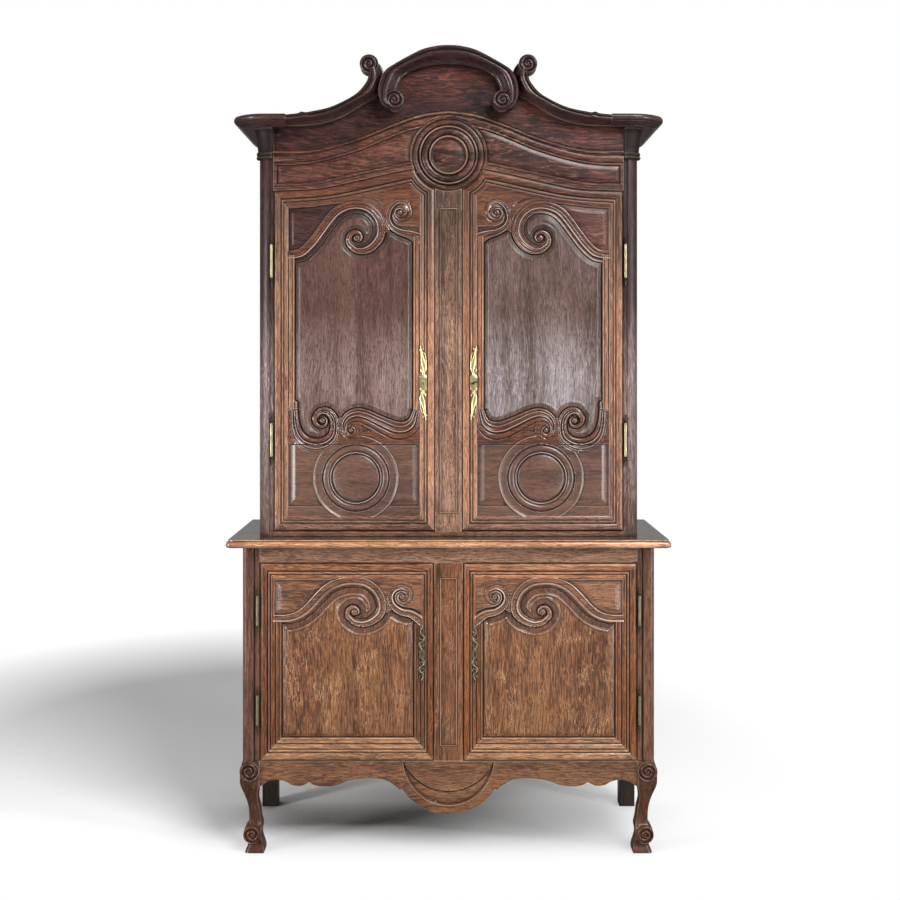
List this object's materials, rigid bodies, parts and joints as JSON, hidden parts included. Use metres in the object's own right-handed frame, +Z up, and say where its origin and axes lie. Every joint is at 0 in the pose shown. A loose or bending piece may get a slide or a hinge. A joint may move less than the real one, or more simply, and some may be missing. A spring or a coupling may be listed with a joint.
{
  "type": "two-piece buffet",
  "caption": "Carved oak buffet: a low cupboard with panel doors and scroll feet under a counter, and a set-back upper cupboard with panel doors and a scrolled cornice.",
  "frame": {"origin": "on the floor under the middle of the counter", "axes": "+Z up, the doors face -Y, +X to the right seen from the front"},
  "size_m": [1.328, 0.542, 2.423],
  "materials": {
    "post_oak": "waxed dark oak",
    "rail_oak": "waxed oak",
    "side_oak": "waxed oak",
    "inner_oak": "bare aged oak",
    "counter_oak": "polished oak",
    "frieze_oak": "waxed dark oak",
    "cornice_oak": "near black waxed oak",
    "door_oak": "waxed oak",
    "panel_oak": "waxed oak",
    "hinge_brass": "aged brass",
    "plate_brass": "aged brass",
    "lock_iron": "dark iron"
  },
  "bodies": {
    "base_cabinet": {"base_left_front_post": "post_oak", "base_right_front_post": "post_oak", "base_rear_posts": "side_oak", "base_top_rail": "rail_oak", "base_apron": "rail_oak", "base_centre_stile": "rail_oak", "base_side_rails": "side_oak", "base_side_panels": "side_oak", "base_back": "inner_oak", "base_floor": "inner_oak", "base_shelf": "inner_oak", "base_bearers": "inner_oak", "counter_top": "counter_oak", "locating_pegs": "inner_oak", "base_hinge_pins": "hinge_brass"},
    "upper_cabinet": {"upper_left_front_post": "post_oak", "upper_right_front_post": "post_oak", "upper_rear_posts": "side_oak", "upper_bottom_rail": "rail_oak", "upper_centre_stile": "rail_oak", "frieze_board": "frieze_oak", "upper_side_rails": "side_oak", "upper_side_panels": "side_oak", "upper_back": "inner_oak", "upper_floor": "inner_oak", "upper_roof": "inner_oak", "upper_shelves": "inner_oak", "upper_bearers": "inner_oak", "capitals": "cornice_oak", "cornice_left_end": "cornice_oak", "cornice_right_end": "cornice_oak", "cornice_left_swan_neck": "cornice_oak", "cornice_right_swan_neck": "cornice_oak", "cornice_arch": "cornice_oak", "upper_hinge_pins": "hinge_brass"},
    "base_left_door": {"base_left_door_frame": "door_oak", "base_left_door_panel": "panel_oak", "base_left_door_hinge_leaves": "hinge_brass", "base_left_door_keyhole_plate": "plate_brass", "base_left_door_lock_case": "lock_iron"},
    "base_left_door_bolt": {"base_left_door_bolt": "lock_iron"},
    "base_right_door": {"base_right_door_frame": "door_oak", "base_right_door_panel": "panel_oak", "base_right_door_hinge_leaves": "hinge_brass", "base_right_door_keyhole_plate": "plate_brass", "base_right_door_lock_case": "lock_iron"},
    "base_right_door_bolt": {"base_right_door_bolt": "lock_iron"},
    "upper_left_door": {"upper_left_door_frame": "door_oak", "upper_left_door_panel": "panel_oak", "upper_left_door_hinge_leaves": "hinge_brass", "upper_left_door_keyhole_plate": "plate_brass", "upper_left_door_lock_case": "lock_iron"},
    "upper_left_door_bolt": {"upper_left_door_bolt": "lock_iron"},
    "upper_right_door": {"upper_right_door_frame": "door_oak", "upper_right_door_panel": "panel_oak", "upper_right_door_hinge_leaves": "hinge_brass", "upper_right_door_keyhole_plate": "plate_brass", "upper_right_door_lock_case": "lock_iron"},
    "upper_right_door_bolt": {"upper_right_door_bolt": "lock_iron"},
    "upper_right_key": {"upper_right_key": "lock_iron"}
  },
  "joints": [
    {"name": "upper_lift", "type": "slide", "parent": "base_cabinet", "child": "upper_cabinet", "axis": [0, 0, 1], "range_m": [0, 0.06]},
    {"name": "base_left_door_hinge", "type": "hinge", "parent": "base_cabinet", "child": "base_left_door", "pos_m": [-0.573, -0.2335, 0.58], "axis": [0, 0, -1], "range_deg": [0, 170]},
    {"name": "base_left_door_bolt_slide", "type": "slide", "parent": "base_left_door", "child": "base_left_door_bolt", "axis": [1, 0, 0], "range_m": [0, 0.014]},
    {"name": "base_right_door_hinge", "type": "hinge", "parent": "base_cabinet", "child": "base_right_door", "pos_m": [0.573, -0.2335, 0.58], "axis": [0, 0, 1], "range_deg": [0, 170]},
    {"name": "base_right_door_bolt_slide", "type": "slide", "parent": "base_right_door", "child": "base_right_door_bolt", "axis": [-1, 0, 0], "range_m": [0, 0.014]},
    {"name": "upper_left_door_hinge", "type": "hinge", "parent": "upper_cabinet", "child": "upper_left_door", "pos_m": [-0.5365, -0.1885, 1.51], "axis": [0, 0, -1], "range_deg": [0, 170]},
    {"name": "upper_left_door_bolt_slide", "type": "slide", "parent": "upper_left_door", "child": "upper_left_door_bolt", "axis": [1, 0, 0], "range_m": [0, 0.014]},
    {"name": "upper_right_door_hinge", "type": "hinge", "parent": "upper_cabinet", "child": "upper_right_door", "pos_m": [0.5365, -0.1885, 1.51], "axis": [0, 0, 1], "range_deg": [0, 170]},
    {"name": "upper_right_door_bolt_slide", "type": "slide", "parent": "upper_right_door", "child": "upper_right_door_bolt", "axis": [-1, 0, 0], "range_m": [0, 0.014]},
    {"name": "upper_right_key_turn", "type": "hinge", "parent": "upper_right_door", "child": "upper_right_key", "pos_m": [0.0765, -0.187, 1.413], "axis": [0, -1, 0], "range_deg": [0, 90]}
  ],
  "couplings": [
    {"joint": "upper_right_key_turn", "follows": "upper_right_door_bolt_slide", "rad_per_m": 112.19}
  ]
}
